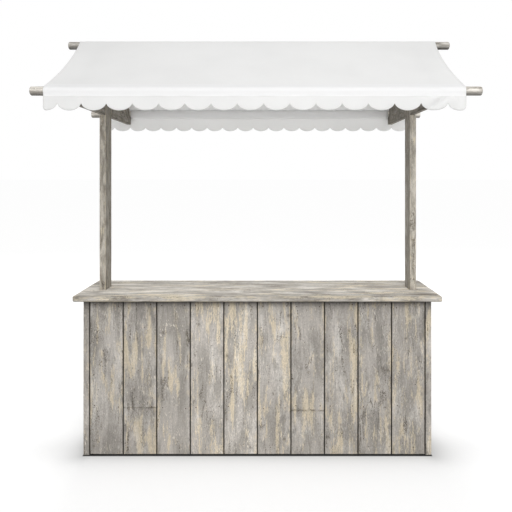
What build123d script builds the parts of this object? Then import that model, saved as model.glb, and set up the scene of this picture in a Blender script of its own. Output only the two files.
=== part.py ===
from build123d import *
from math import atan2, ceil, cos, sin, tan
import os

# An open-backed wooden market stall with a ridged cloth canopy on three round poles.
#
# Frame: X along the counter, +Y towards the seller's side, +Z up. The origin is on the floor, in
# the middle of the stall, and the customers' side faces -Y. All sizes are millimetres.
#
# The counter is a timber frame with upright lapped boards on its front and its ends, and an open
# back. Two tall posts stand on the floor inside the counter's ends and pass through its top. Each
# carries a gable: a tie half-lapped across the post and two rafters. The ridge pole lies in the
# heads of the posts and the eave poles lie in the feet of the rafters. The canopy cloth hangs over
# the poles, holds the eave poles in pockets and ends in a scalloped valance on both long sides.

# ---- Counter ------------------------------------------------------------------------------------
counter_length = 2074  # over the corner posts
counter_depth = 450  # front boards' face to the rear corner posts' back
counter_height = 957  # floor to the top's upper face
top_thickness = 32
top_overhang = 50  # past the counter on all four sides
top_plank_count = 3
plank_joint = 1.5  # open joint between two planks of the top
nosing_radius = 9  # upper outer edges of the top
nosing_under_radius = 5  # lower outer edges of the top
top_corner_radius = 18  # corners of the top, seen from above

corner_post_width = 38  # along X
corner_post_depth = 60  # along Y
corner_post_setback = 12  # front corner posts' face behind the front boards' face

front_board_count = 10
side_board_count = 2
board_thickness = 20
board_groove = 6  # open groove that shows between two boards
board_lap = 8  # tongue behind the groove, in the next board's rebate
board_lap_clearance = 1
board_floor_gap = 12  # boards hang clear of the floor
board_edge_chamfer = 1.5
side_board_setback = 3  # side boards' face inside the corner posts' outer face

rail_height = 70
rail_thickness = 38  # front rails, back rail and bearer
side_rail_thickness = 32
bottom_rail_clearance = 255  # floor to the underside of the bottom rails

# ---- Posts and gables ---------------------------------------------------------------------------
post_width = 38  # along X
post_depth = 138  # along Y
post_clearance = 1  # around a post where it passes through the top
gable_thickness = 30  # ties and rafters, flush with the posts' inner faces
tie_height = 120
rafter_height = 90  # square to its slope
rafter_drop = 10  # rafters' upper edge below the tight line of the cloth
pole_seat_height = 47  # timber under an eave pole
pole_seat_reach = 20  # rafter's end past an eave pole's centre
timber_edge_chamfer = 2

# ---- Poles and canopy ---------------------------------------------------------------------------
pole_diameter = 50
pole_length = 2400
pole_end_chamfer = 3
ridge_pole_shift = 6  # how far a pole sits off the middle, along X
front_pole_shift = 0
back_pole_shift = -26
pole_clearance = 0.3  # between a pole and its seat or the cloth
ridge_height = 2486  # floor to the ridge pole's centre
eave_height = 2114  # floor to the eave poles' centres
eave_reach = 590  # ridge pole's centre to an eave pole's, along Y
cloth_width = 2236
cloth_thickness = 2.5
cloth_sag = 8  # in the middle of a slope
side_edge_hollow = 23  # how far the cloth's side edges curve in, in the middle of a slope
front_valance_drop = 100  # eave pole's centre to the lowest points of the lobes
front_lobe_width = 137.5
front_lobe_depth = 31
front_first_lobe_width = 75  # lobe at the left-hand corner, cut short
back_valance_drop = 119
back_lobe_width = 111
back_lobe_depth = 24
back_first_lobe_width = 73
pocket_clearance = 8  # a pole pocket stops this far from a gable

# ---- Worked out ---------------------------------------------------------------------------------
top_underside = counter_height - top_thickness
front_face = -counter_depth / 2
back_face = counter_depth / 2
corner_post_front = front_face + corner_post_setback
front_clear = corner_post_front + corner_post_depth  # inner faces of the corner posts, along Y
back_clear = back_face - corner_post_depth
half_length = counter_length / 2
half_clear_length = half_length - corner_post_width
side_board_face = half_length - side_board_setback
side_rail_face = side_board_face - board_thickness
post_outer = side_rail_face - side_rail_thickness
post_inner = post_outer - post_width
post_middle = (post_outer + post_inner) / 2
gable_middle = post_inner + gable_thickness / 2
rail_front = front_face + board_thickness
board_length = top_underside - board_floor_gap
top_rail_underside = top_underside - rail_height

pole_radius = pole_diameter / 2
seat_radius = pole_radius + pole_clearance
pitch = atan2(ridge_height - eave_height, eave_reach)
pitch_slope = tan(pitch)
cloth_apex = ridge_height + seat_radius / cos(pitch)  # tight line of the cloth's inner face, at Y = 0
rafter_top_apex = cloth_apex - rafter_drop / cos(pitch)
rafter_low_apex = rafter_top_apex - rafter_height / cos(pitch)
gable_underside = eave_height - seat_radius - pole_seat_height
gable_end = eave_reach + pole_seat_reach
valance_face = eave_reach + seat_radius + cloth_thickness  # inner face of a valance

low_corner = (Align.MIN, Align.MIN, Align.MIN)
side_signs = (("left", -1), ("right", 1))
long_side_signs = (("front", -1), ("back", 1))

os.makedirs("parts", exist_ok=True)


# ---- Counter top: three planks cut from one rounded outline, with holes for the posts ------------
top_length = counter_length + 2 * top_overhang
top_depth = counter_depth + 2 * top_overhang
plank_depth = (top_depth - (top_plank_count - 1) * plank_joint) / top_plank_count

with BuildPart() as whole_top:
    with BuildSketch(Plane.XY.offset(top_underside)):
        RectangleRounded(top_length, top_depth, top_corner_radius)
    extrude(amount=top_thickness)
    fillet(whole_top.faces().sort_by(Axis.Z)[-1].edges(), nosing_radius)
    fillet(whole_top.faces().sort_by(Axis.Z)[0].edges(), nosing_under_radius)
    with BuildSketch(Plane.XY.offset(top_underside)):
        with Locations((-post_middle, 0), (post_middle, 0)):
            Rectangle(post_width + 2 * post_clearance, post_depth + 2 * post_clearance)
    extrude(amount=top_thickness, mode=Mode.SUBTRACT)

for i in range(top_plank_count):
    plank_front = -top_depth / 2 + i * (plank_depth + plank_joint)
    with BuildPart() as top_plank:
        add(whole_top.part)
        with Locations((-top_length / 2, plank_front, top_underside)):
            Box(top_length, plank_depth, top_thickness, align=low_corner, mode=Mode.INTERSECT)
    top_plank.part.label = f"top_plank_{i + 1}"
    export_step(top_plank.part, f"parts/top_plank_{i + 1}.step")

# ---- Corner posts -------------------------------------------------------------------------------
for end, post_front in (("front", corner_post_front), ("back", back_clear)):
    for side, sign in side_signs:
        with BuildPart() as corner_post:
            with Locations((sign * (half_length - corner_post_width / 2), post_front, 0)):
                Box(
                    corner_post_width,
                    corner_post_depth,
                    top_underside,
                    align=(Align.CENTER, Align.MIN, Align.MIN),
                )
            chamfer(corner_post.edges().filter_by(Axis.Z), timber_edge_chamfer)
        corner_post.part.label = f"corner_post_{end}_{side}"
        export_step(corner_post.part, f"parts/corner_post_{end}_{side}.step")


# ---- Rails and the bearer under the top ---------------------------------------------------------
def rail(low, high):
    """A straight timber between two opposite corners."""
    size = [b - a for a, b in zip(low, high)]
    with BuildPart() as piece:
        with Locations(low):
            Box(*size, align=low_corner)
    return piece


rail_levels = (("bottom", bottom_rail_clearance), ("top", top_rail_underside))
for level, height in rail_levels:
    front_rail = rail(
        (-half_clear_length, rail_front, height),
        (half_clear_length, rail_front + rail_thickness, height + rail_height),
    )
    front_rail.part.label = f"front_rail_{level}"
    export_step(front_rail.part, f"parts/front_rail_{level}.step")
    for side, sign in side_signs:
        faces = sorted((sign * side_rail_face, sign * post_outer))
        side_rail = rail(
            (faces[0], front_clear, height),
            (faces[1], back_clear, height + rail_height),
        )
        side_rail.part.label = f"side_rail_{level}_{side}"
        export_step(side_rail.part, f"parts/side_rail_{level}_{side}.step")

back_rail_front = (back_clear + back_face - rail_thickness) / 2
back_rail = rail(
    (-half_clear_length, back_rail_front, top_rail_underside),
    (half_clear_length, back_rail_front + rail_thickness, top_underside),
)
back_rail.part.label = "back_rail"
export_step(back_rail.part, "parts/back_rail.step")

top_bearer = rail(
    (-rail_thickness / 2, rail_front + rail_thickness, top_rail_underside),
    (rail_thickness / 2, back_rail_front, top_underside),
)
top_bearer.part.label = "top_bearer"
export_step(top_bearer.part, "parts/top_bearer.step")


# ---- Upright lapped boards ----------------------------------------------------------------------
def lapped_board(plane, width, is_first, is_last):
    """One board, its face towards the plane's -Y and its lower left corner at the plane's origin.

    The tongue on its right edge lies behind the groove, in the rebate of the next board."""
    half = board_thickness / 2
    rebate_depth = half
    tongue_thickness = half - board_lap_clearance
    with BuildPart() as board:
        with BuildSketch(plane):
            Rectangle(width, board_thickness, align=(Align.MIN, Align.MIN))
            if not is_last:
                with Locations((width, board_thickness)):
                    Rectangle(
                        board_groove + board_lap, tongue_thickness, align=(Align.MIN, Align.MAX)
                    )
            if not is_first:
                with Locations((0, board_thickness)):
                    Rectangle(
                        board_lap + board_lap_clearance,
                        rebate_depth,
                        align=(Align.MIN, Align.MAX),
                        mode=Mode.SUBTRACT,
                    )
        extrude(amount=board_length)
        towards_back = Axis(plane.origin, plane.y_dir)
        chamfer(board.edges().filter_by(Axis.Z).group_by(towards_back)[0], board_edge_chamfer)
    return board


front_board_pitch = (2 * half_clear_length - board_groove) / front_board_count
for i in range(front_board_count):
    board_left = -half_clear_length + board_groove + i * front_board_pitch
    front_board = lapped_board(
        Plane(origin=(board_left, front_face, board_floor_gap), x_dir=(1, 0, 0), z_dir=(0, 0, 1)),
        front_board_pitch - board_groove,
        is_first=i == 0,
        is_last=i == front_board_count - 1,
    )
    front_board.part.label = f"front_board_{i + 1:02d}"
    export_step(front_board.part, f"parts/front_board_{i + 1:02d}.step")

side_board_pitch = (back_clear - front_clear - board_groove) / side_board_count
for side, sign in side_signs:
    start = front_clear if sign > 0 else back_clear
    for i in range(side_board_count):
        board_start = start + sign * (board_groove + i * side_board_pitch)
        side_board = lapped_board(
            Plane(
                origin=(sign * side_board_face, board_start, board_floor_gap),
                x_dir=(0, sign, 0),
                z_dir=(0, 0, 1),
            ),
            side_board_pitch - board_groove,
            is_first=i == 0,
            is_last=i == side_board_count - 1,
        )
        side_board.part.label = f"side_board_{side}_{i + 1}"
        export_step(side_board.part, f"parts/side_board_{side}_{i + 1}.step")

# ---- Posts, with a half lap for the tie and a seat for the ridge pole in a pointed head ----------
def rafter_low_reach(height):
    """How far from Y = 0 the rafters' lower edges have come down to a height."""
    return (rafter_low_apex - height) / pitch_slope


def tie_outline(x):
    """A tie's outline at an X: level edges, with ends cut to the slope of the rafters over it."""
    with BuildSketch(Plane.YZ.offset(x)) as outline:
        with BuildLine():
            Polyline(
                (-rafter_low_reach(gable_underside), gable_underside),
                (rafter_low_reach(gable_underside), gable_underside),
                (0, rafter_low_apex),
                close=True,
            )
        make_face()
        with Locations((0, gable_underside)):
            Rectangle(
                2 * gable_end, tie_height, align=(Align.CENTER, Align.MIN), mode=Mode.INTERSECT
            )
    return outline.sketch


shoulder_height = rafter_top_apex - post_depth / 2 * pitch_slope
for side, sign in side_signs:
    with BuildPart() as post:
        with BuildSketch(Plane.YZ.offset(sign * post_middle)):
            with BuildLine():
                Polyline(
                    (-post_depth / 2, 0),
                    (post_depth / 2, 0),
                    (post_depth / 2, shoulder_height),
                    (0, rafter_top_apex),
                    (-post_depth / 2, shoulder_height),
                    close=True,
                )
            make_face()
        extrude(amount=post_width / 2, both=True)
        chamfer(post.edges().filter_by(Axis.Z), timber_edge_chamfer)
        with BuildSketch(Plane.YZ.offset(sign * post_middle)):
            with Locations((0, ridge_height)):
                SlotCenterPoint((0, pole_diameter), (0, 0), 2 * seat_radius, rotation=90)
        extrude(amount=post_width / 2, both=True, mode=Mode.SUBTRACT)
        extrude(
            tie_outline(sign * (post_outer + gable_middle) / 2),
            amount=(post_outer - gable_middle) / 2,
            both=True,
            mode=Mode.SUBTRACT,
        )
    post.part.label = f"post_{side}"
    export_step(post.part, f"parts/post_{side}.step")


# ---- Ties, half-lapped into the posts' outer sides, with ends cut to the slope of the rafters ------------------
for side, sign in side_signs:
    with BuildPart() as gable_tie:
        extrude(tie_outline(sign * gable_middle), amount=gable_thickness / 2, both=True)
        with Locations((sign * (post_inner + gable_thickness / 4), 0, gable_underside)):
            Box(
                gable_thickness / 2,
                post_depth,
                tie_height,
                align=(Align.CENTER, Align.CENTER, Align.MIN),
                mode=Mode.SUBTRACT,
            )
    gable_tie.part.label = f"gable_tie_{side}"
    export_step(gable_tie.part, f"parts/gable_tie_{side}.step")

# ---- Rafters, plumb-cut against the posts, with an open seat for an eave pole in each foot --------
for side, sign in side_signs:
    for end, way in long_side_signs:
        with BuildPart() as rafter:
            with BuildSketch(Plane.YZ.offset(sign * gable_middle)):
                with BuildLine():
                    Polyline(
                        (way * post_depth / 2, shoulder_height),
                        (way * post_depth / 2, rafter_low_apex - post_depth / 2 * pitch_slope),
                        (way * rafter_low_reach(gable_underside), gable_underside),
                        (way * gable_end, gable_underside),
                        (way * gable_end, rafter_top_apex - gable_end * pitch_slope),
                        close=True,
                    )
                make_face()
                with Locations((way * eave_reach, eave_height + pole_diameter / 2)):
                    SlotCenterToCenter(pole_diameter, 2 * seat_radius, rotation=90, mode=Mode.SUBTRACT)
            extrude(amount=gable_thickness / 2, both=True)
        rafter.part.label = f"rafter_{end}_{side}"
        export_step(rafter.part, f"parts/rafter_{end}_{side}.step")

# ---- Round poles --------------------------------------------------------------------------------
poles = (
    ("ridge", ridge_pole_shift, (0, ridge_height)),
    ("front", front_pole_shift, (-eave_reach, eave_height)),
    ("back", back_pole_shift, (eave_reach, eave_height)),
)
for place, shift, centre in poles:
    with BuildPart() as pole:
        with BuildSketch(Plane.YZ.offset(shift)):
            with Locations(centre):
                Circle(pole_radius)
        extrude(amount=pole_length / 2, both=True)
        chamfer(pole.edges().filter_by(GeomType.CIRCLE), pole_end_chamfer)
    pole.part.label = f"{place}_pole"
    export_step(pole.part, f"parts/{place}_pole.step")


# ---- Canopy roof: a slack sheet over the three poles, with hollow side edges ---------------------
def tight_height(reach, offset):
    """Height, at a reach from Y = 0, of the tight line an offset outside the cloth's inner face."""
    return ridge_height + (seat_radius + offset) / cos(pitch) - reach * pitch_slope


def cloth_line(offset):
    """Draws the cloth's section from the front valance to the back one, at an offset outwards."""
    radius = seat_radius + offset
    slack_radius = radius - cloth_sag
    for way in (-1, 1):
        ridge_end = (way * radius * sin(pitch), ridge_height + radius * cos(pitch))
        slack = (
            way * (eave_reach / 2 + slack_radius * sin(pitch)),
            (ridge_height + eave_height) / 2 + slack_radius * cos(pitch),
        )
        eave_end = (way * (eave_reach + radius * sin(pitch)), eave_height + radius * cos(pitch))
        ThreePointArc(ridge_end, slack, eave_end)
        Line(eave_end, (way * valance_face, tight_height(valance_face, offset)))
    ThreePointArc(
        (-radius * sin(pitch), ridge_height + radius * cos(pitch)),
        (0, ridge_height + radius),
        (radius * sin(pitch), ridge_height + radius * cos(pitch)),
    )


with BuildPart() as canopy_roof:
    with BuildSketch(Plane.YZ):
        with BuildLine():
            cloth_line(0)
            cloth_line(cloth_thickness)
            for way in (-1, 1):
                inner_end = (way * valance_face, tight_height(valance_face, 0))
                Line(inner_end, (way * valance_face, tight_height(valance_face, cloth_thickness)))
        make_face()
    extrude(amount=cloth_width / 2, both=True)
    with BuildSketch(Plane.XY.offset(eave_height)):
        for sign in (-1, 1):
            for way in (-1, 1):
                corner = (sign * cloth_width / 2, way * eave_reach)
                with BuildLine():
                    Line((sign * cloth_width / 2, 0), corner)
                    ThreePointArc(
                        corner,
                        (sign * (cloth_width / 2 - side_edge_hollow), way * eave_reach / 2),
                        (sign * cloth_width / 2, 0),
                    )
                make_face()
    extrude(amount=2 * (ridge_height - eave_height), mode=Mode.SUBTRACT)
canopy_roof.part.label = "canopy_roof"
export_step(canopy_roof.part, "parts/canopy_roof.step")

# ---- Valances: a row of round lobes, cut short at both corners -----------------------------------
valances = (
    ("front", -1, front_valance_drop, front_lobe_width, front_lobe_depth, front_first_lobe_width),
    ("back", 1, back_valance_drop, back_lobe_width, back_lobe_depth, back_first_lobe_width),
)
for place, way, drop, lobe_width, lobe_depth, first_width in valances:
    cusp_height = eave_height - drop + lobe_depth
    top_height = tight_height(valance_face, cloth_thickness)
    full_lobes = ceil((cloth_width - first_width) / lobe_width) - 1
    last_width = cloth_width - first_width - full_lobes * lobe_width
    with BuildPart() as valance:
        with BuildSketch(Plane.XZ.offset(-way * valance_face)):
            with BuildLine():
                lobe_start = -cloth_width / 2
                for width in (first_width, *[lobe_width] * full_lobes, last_width):
                    lobe_end = lobe_start + width
                    ThreePointArc(
                        (lobe_start, cusp_height),
                        (lobe_start + width / 2, cusp_height - min(lobe_depth, width / 2)),
                        (lobe_end, cusp_height),
                    )
                    lobe_start = lobe_end
                Polyline(
                    (cloth_width / 2, cusp_height),
                    (cloth_width / 2, top_height),
                    (-cloth_width / 2, top_height),
                    (-cloth_width / 2, cusp_height),
                )
            make_face()
        extrude(amount=-way * cloth_thickness)
    valance.part.label = f"{place}_valance"
    export_step(valance.part, f"parts/{place}_valance.step")

# ---- Pole pockets: strips sewn under the eaves, open where the gables pass -----------------------
pocket_edges = (post_inner - pocket_clearance, post_outer + pocket_clearance)
pocket_runs = (
    (-cloth_width / 2, -pocket_edges[1]),
    (-pocket_edges[0], pocket_edges[0]),
    (pocket_edges[1], cloth_width / 2),
)
for place, way in long_side_signs:
    with BuildPart() as pocket:
        for start, end in pocket_runs:
            with BuildSketch(Plane.YZ.offset(start)):
                with Locations((way * eave_reach, eave_height + pole_diameter / 2)):
                    SlotCenterToCenter(
                        pole_diameter, 2 * (seat_radius + cloth_thickness), rotation=90
                    )
                    SlotCenterToCenter(
                        pole_diameter, 2 * seat_radius, rotation=90, mode=Mode.SUBTRACT
                    )
                with BuildLine():
                    cloth_line(0)
                    Polyline(
                        (-valance_face, tight_height(valance_face, 0)),
                        (-valance_face, 2 * ridge_height),
                        (valance_face, 2 * ridge_height),
                        (valance_face, tight_height(valance_face, 0)),
                    )
                make_face(mode=Mode.SUBTRACT)
            extrude(amount=end - start)
    pocket.part.label = f"{place}_pole_pocket"
    export_step(pocket.part, f"parts/{place}_pole_pocket.step")
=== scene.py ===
"""Wooden market stall: weathered painted boards, a worn counter top, round poles and a canvas canopy.

Metres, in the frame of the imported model: X along the counter, -Y towards the customers, Z up.
"""

from functools import partialmethod
from math import atan2, cos, pi, radians, sin, sqrt
from random import Random

import bmesh
import bpy
from mathutils import Matrix, Vector, noise


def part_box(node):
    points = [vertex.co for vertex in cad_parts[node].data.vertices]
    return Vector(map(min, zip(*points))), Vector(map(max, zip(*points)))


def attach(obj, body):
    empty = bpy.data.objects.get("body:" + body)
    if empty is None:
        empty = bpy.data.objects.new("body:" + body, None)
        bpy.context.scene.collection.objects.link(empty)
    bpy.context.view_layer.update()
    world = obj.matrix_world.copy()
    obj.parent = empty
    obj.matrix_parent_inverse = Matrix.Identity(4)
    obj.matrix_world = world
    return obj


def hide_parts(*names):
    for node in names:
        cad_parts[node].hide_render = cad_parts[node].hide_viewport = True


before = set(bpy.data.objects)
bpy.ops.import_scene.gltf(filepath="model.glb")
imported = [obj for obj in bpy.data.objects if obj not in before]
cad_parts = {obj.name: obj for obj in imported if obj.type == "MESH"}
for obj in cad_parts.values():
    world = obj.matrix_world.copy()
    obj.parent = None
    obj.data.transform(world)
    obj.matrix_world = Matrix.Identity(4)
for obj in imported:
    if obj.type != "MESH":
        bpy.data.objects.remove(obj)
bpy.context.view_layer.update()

X, Y, Z = Vector((1, 0, 0)), Vector((0, 1, 0)), Vector((0, 0, 1))


def smooth(t):
    """A smooth step from 0 to 1."""
    t = min(max(t, 0.0), 1.0)
    return t * t * (3 - 2 * t)


def centre(node):
    low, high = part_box(node)
    return (low + high) / 2


def size(node):
    low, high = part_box(node)
    return high - low


# ---- Shader numbers and nodes ----
class Number:
    """A number that a shader works out. Arithmetic with it adds math nodes to its tree."""

    def __init__(self, socket):
        self.socket = socket
        self.tree = socket.id_data

    def apply(self, operation, other=0.0, swapped=False):
        """The result of a math node on this number, and on another one where it takes two."""
        first, second = (other, self) if swapped else (self, other)
        return Number(put(self.tree, "ShaderNodeMath", {0: first, 1: second}, operation=operation).outputs[0])

    __add__ = partialmethod(apply, "ADD")
    __sub__ = partialmethod(apply, "SUBTRACT")
    __rsub__ = partialmethod(apply, "SUBTRACT", swapped=True)
    __mul__ = partialmethod(apply, "MULTIPLY")
    __truediv__ = partialmethod(apply, "DIVIDE")
    __rtruediv__ = partialmethod(apply, "DIVIDE", swapped=True)
    __abs__ = partialmethod(apply, "ABSOLUTE")


def put(tree, kind, inputs=None, **settings):
    """Adds a node with its settings, and sets or links its inputs by name or number."""
    made = tree.nodes.new(kind)
    for name, value in settings.items():
        setattr(made, name, value)
    for name, value in (inputs or {}).items():
        if isinstance(value, Number):
            value = value.socket
        if isinstance(value, bpy.types.NodeSocket):
            tree.links.new(value, made.inputs[name])
        else:
            made.inputs[name].default_value = value
    return made


def attribute(tree, name):
    return Number(put(tree, "ShaderNodeAttribute", attribute_name=name).outputs["Fac"])


def grain_place(tree):
    """The place in the timber: across its side, across its face and along its grain, in metres."""
    return put(tree, "ShaderNodeAttribute", attribute_name="grain").outputs["Vector"]


def combined(tree, x=0.0, y=0.0, z=0.0):
    return put(tree, "ShaderNodeCombineXYZ", {"X": x, "Y": y, "Z": z}).outputs[0]


def split(vector):
    """The three parts of a vector, as numbers."""
    return [Number(s) for s in put(vector.id_data, "ShaderNodeSeparateXYZ", {"Vector": vector}).outputs]


def vector_math(operation, a, b=(0, 0, 0)):
    return put(a.id_data, "ShaderNodeVectorMath", {0: a, 1: b}, operation=operation).outputs[0]


def length(vector):
    made = put(vector.id_data, "ShaderNodeVectorMath", {0: vector}, operation="LENGTH")
    return Number(made.outputs["Value"])


def scaled(vector, factor):
    """A vector or a colour times a number."""
    made = put(vector.id_data, "ShaderNodeVectorMath", {0: vector, "Scale": factor}, operation="SCALE")
    return made.outputs[0]


def mix_colour(factor, a, b):
    """Mixes two colours. Inputs 6 and 7 of a mix node and its output 2 are the ones for colours."""
    return put(factor.tree, "ShaderNodeMix", {0: factor, 6: a, 7: b}, data_type="RGBA").outputs[2]


def rescaled(value, low, high, to_low, to_high, **settings):
    """A number taken from one range to another."""
    given = {"Value": value, "From Min": low, "From Max": high, "To Min": to_low, "To Max": to_high}
    return Number(put(value.tree, "ShaderNodeMapRange", given, **settings).outputs["Result"])


def soft_step(value, low, high):
    """0 below low, 1 above high, with a smooth step between them."""
    return rescaled(value, low, high, 0.0, 1.0, interpolation_type="SMOOTHSTEP")


def noise_at(place, detail, roughness=0.5, scale=1.0):
    given = {"Vector": place, "Scale": scale, "Detail": detail, "Roughness": roughness}
    return Number(put(place.id_data, "ShaderNodeTexNoise", given).outputs["Fac"])


def stretched_noise(grain, across, along, detail=4.0, roughness=0.6, seed=0.0):
    """Noise whose grains are so wide across the grain and so long along it."""
    given = {"Vector": grain, "Location": (seed,) * 3, "Scale": (1 / across, 1 / across, 1 / along)}
    return noise_at(put(grain.id_data, "ShaderNodeMapping", given).outputs[0], detail, roughness)


def noise_by_width(grain, width, stretch, detail=3.0, roughness=0.6, seed=0.0):
    """Noise whose grains are as wide as a shader's number says, and so many times longer."""
    across = 1.0 / width
    scale = combined(grain.id_data, across, across, across / stretch)
    given = {"Vector": grain, "Location": (seed, 0.0, seed), "Scale": scale}
    return noise_at(put(grain.id_data, "ShaderNodeMapping", given).outputs[0], detail, roughness)


def shifted(grain, offset):
    """Another part of the grain, so that two patterns of one kind differ."""
    return vector_math("ADD", grain, combined(grain.id_data, x=offset, z=offset))


def srgb(red, green, blue):
    """A shader colour from the 0 to 255 values that a colour card gives."""
    linear = [((c / 255 + 0.055) / 1.055) ** 2.4 if c > 10 else c / 255 / 12.92 for c in (red, green, blue)]
    return (*linear, 1.0)


def blend(a, b, share):
    return [(1 - share) * p + share * q for p, q in zip(a, b)]


def new_group(name, numbers):
    """An empty node group, with the inputs that it is given: a place, and numbers with their defaults."""
    tree = bpy.data.node_groups.new(name, "ShaderNodeTree")
    tree.interface.new_socket("Place", in_out="INPUT", socket_type="NodeSocketVector")
    for key, default in numbers.items():
        tree.interface.new_socket(key, in_out="INPUT", socket_type="NodeSocketFloat").default_value = default
    given = tree.nodes.new("NodeGroupInput").outputs
    return tree, given["Place"], {key: Number(given[key]) for key in numbers}


def ended(tree, **results):
    """Ends a node group with its results."""
    for key in results:
        tree.interface.new_socket(key, in_out="OUTPUT", socket_type="NodeSocketFloat")
    put(tree, "NodeGroupOutput", results)
    return tree


def placed(tree, group, place, numbers=None):
    """Places a node group in a material, and gives its results."""
    made = put(tree, "ShaderNodeGroup", {"Place": place, **(numbers or {})}, node_tree=group)
    return {s.name: Number(s) for s in made.outputs}


def new_material(name):
    material = bpy.data.materials.new(name)
    material.use_nodes = True
    material.node_tree.nodes.clear()
    return material, material.node_tree


def bumped(height, distance, strength=1.0):
    given = {"Height": height, "Distance": distance, "Strength": strength}
    return put(height.tree, "ShaderNodeBump", given).outputs["Normal"]


def surfaced(material, inputs):
    """Gives a material its shader."""
    shader = put(material.node_tree, "ShaderNodeBsdfPrincipled", inputs)
    put(material.node_tree, "ShaderNodeOutputMaterial", {"Surface": shader.outputs[0]})
    return material


# ---- Shared effects ----
def make_grain_group():
    """Weathered grain: soft bands, with growth lines and fine fibres that flow round wandering flames."""
    tree, grain, given = new_group("weathered grain", {"Band Width": 0.07, "Line Width": 0.0045})
    flames = stretched_noise(grain, 0.09, 0.42, detail=2.0, seed=7.0)
    flowing = vector_math("ADD", grain, combined(tree, x=(flames - 0.5) * 0.085))
    bands = noise_by_width(flowing, given["Band Width"], 4.0, detail=4.0, seed=3.1)
    lines = noise_by_width(flowing, given["Line Width"], 70.0, seed=11.7)
    fibres = noise_by_width(flowing, given["Line Width"] * 0.4, 22.0, detail=2.0, seed=23.3)
    return ended(tree, Bands=bands, Fibres=fibres, Relief=lines * 0.65 + fibres * 0.35)


def make_patch_group():
    """A mask of ragged patches drawn out along the grain, such as paint that has worn away."""
    numbers = {"Offset": 0.0, "Width": 0.04, "Stretch": 6.0, "Cover": 0.5, "Soft": 0.1, "Ragged": 0.3}
    tree, grain, given = new_group("ragged patches", numbers)
    moved = shifted(grain, given["Offset"])
    shape = noise_by_width(moved, given["Width"], given["Stretch"], detail=4.0)
    crowd = stretched_noise(moved, 0.16, 0.45, detail=1.0)
    torn = stretched_noise(moved, 0.0045, 0.02, roughness=0.75)
    level = shape + (torn - 0.5) * given["Ragged"] + (crowd - 0.5) * 0.35
    low = 1.0 - given["Cover"]
    return ended(tree, Mask=soft_step(level, low, low + given["Soft"]))


def make_fleck_group():
    """A mask of small pits and short cracks along the grain, in loose clusters."""
    numbers = {"Offset": 0.0, "Width": 0.0025, "Stretch": 4.0, "Amount": 0.5, "Lean": 0.0}
    tree, grain, given = new_group("flecks", numbers)
    moved = shifted(grain, given["Offset"])
    turn = {"Vector": moved, "Angle": given["Lean"]}
    leaning = put(tree, "ShaderNodeVectorRotate", turn, rotation_type="Y_AXIS").outputs[0]
    pits = noise_by_width(leaning, given["Width"], given["Stretch"], detail=1.0, roughness=0.5)
    clusters = stretched_noise(moved, 0.05, 0.09, detail=2.0)
    low = 0.85 - given["Amount"] * 0.2
    return ended(tree, Mask=soft_step(pits + (clusters - 0.5) * 0.5, low, low + 0.06))


def make_crack_group():
    """Thin cracks that wander along the grain in places, broken into strings of dark specks."""
    tree, grain, given = new_group("speckled cracks", {"Spacing": 0.06, "Amount": 0.5})
    wander = noise_by_width(grain, given["Spacing"], 9.0, detail=2.0, roughness=0.5, seed=41.0)
    line = 1.0 - soft_step(abs(wander - 0.5), 0.01, 0.034)
    stretches = stretched_noise(grain, 0.05, 0.17, detail=1.0, seed=53.0)
    low = 0.72 - given["Amount"] * 0.4
    specks = stretched_noise(grain, 0.004, 0.0075, detail=2.0, seed=67.0)
    return ended(tree, Mask=line * soft_step(stretches, low, low + 0.06) * soft_step(specks, 0.46, 0.58))


def make_edge_group():
    """A broken mask along a piece's edges, from its edge attribute."""
    tree, grain, given = new_group("worn edges", {"Edge": 0.0, "Amount": 0.5})
    broken = stretched_noise(grain, 0.05, 0.09, roughness=0.65, seed=17.0)
    level = given["Edge"] * 0.5 + (broken + (given["Amount"] - 1.0))
    return ended(tree, Mask=soft_step(level, 0.42, 0.6))


def make_knot_group():
    """Oval knots, one to a cell of the board's face: a dark heart and rings about it."""
    tree, grain, given = new_group("knots", {"Cell": 0.3, "Radius": 0.011})
    across, _, along = split(grain)
    flat = scaled(combined(tree, across, along * 0.5), 1.0 / given["Cell"])
    cells = put(tree, "ShaderNodeTexVoronoi", {"Vector": flat, "Scale": 1.0}, voronoi_dimensions="2D")
    apart = vector_math("SUBTRACT", flat, cells.outputs["Position"])
    distance = length(vector_math("MULTIPLY", apart, (1.0, 1.6, 0.0))) * given["Cell"]
    uneven = stretched_noise(grain, 0.012, 0.02, detail=2.0, seed=71.0)
    reach = (distance + (uneven - 0.5) * 0.012) / given["Radius"]
    ringed = (reach * 7.0).apply("SINE") * 0.5 + 0.5
    return ended(
        tree, Heart=1.0 - soft_step(reach, 0.45, 1.0), Rings=(1.0 - soft_step(reach, 0.9, 3.2)) * ringed
    )


grain_group = make_grain_group()
patch_group = make_patch_group()
fleck_group = make_fleck_group()
crack_group = make_crack_group()
edge_group = make_edge_group()
knot_group = make_knot_group()

# ---- Timber finishes ----
TIMBER_RELIEF = 0.001


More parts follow.
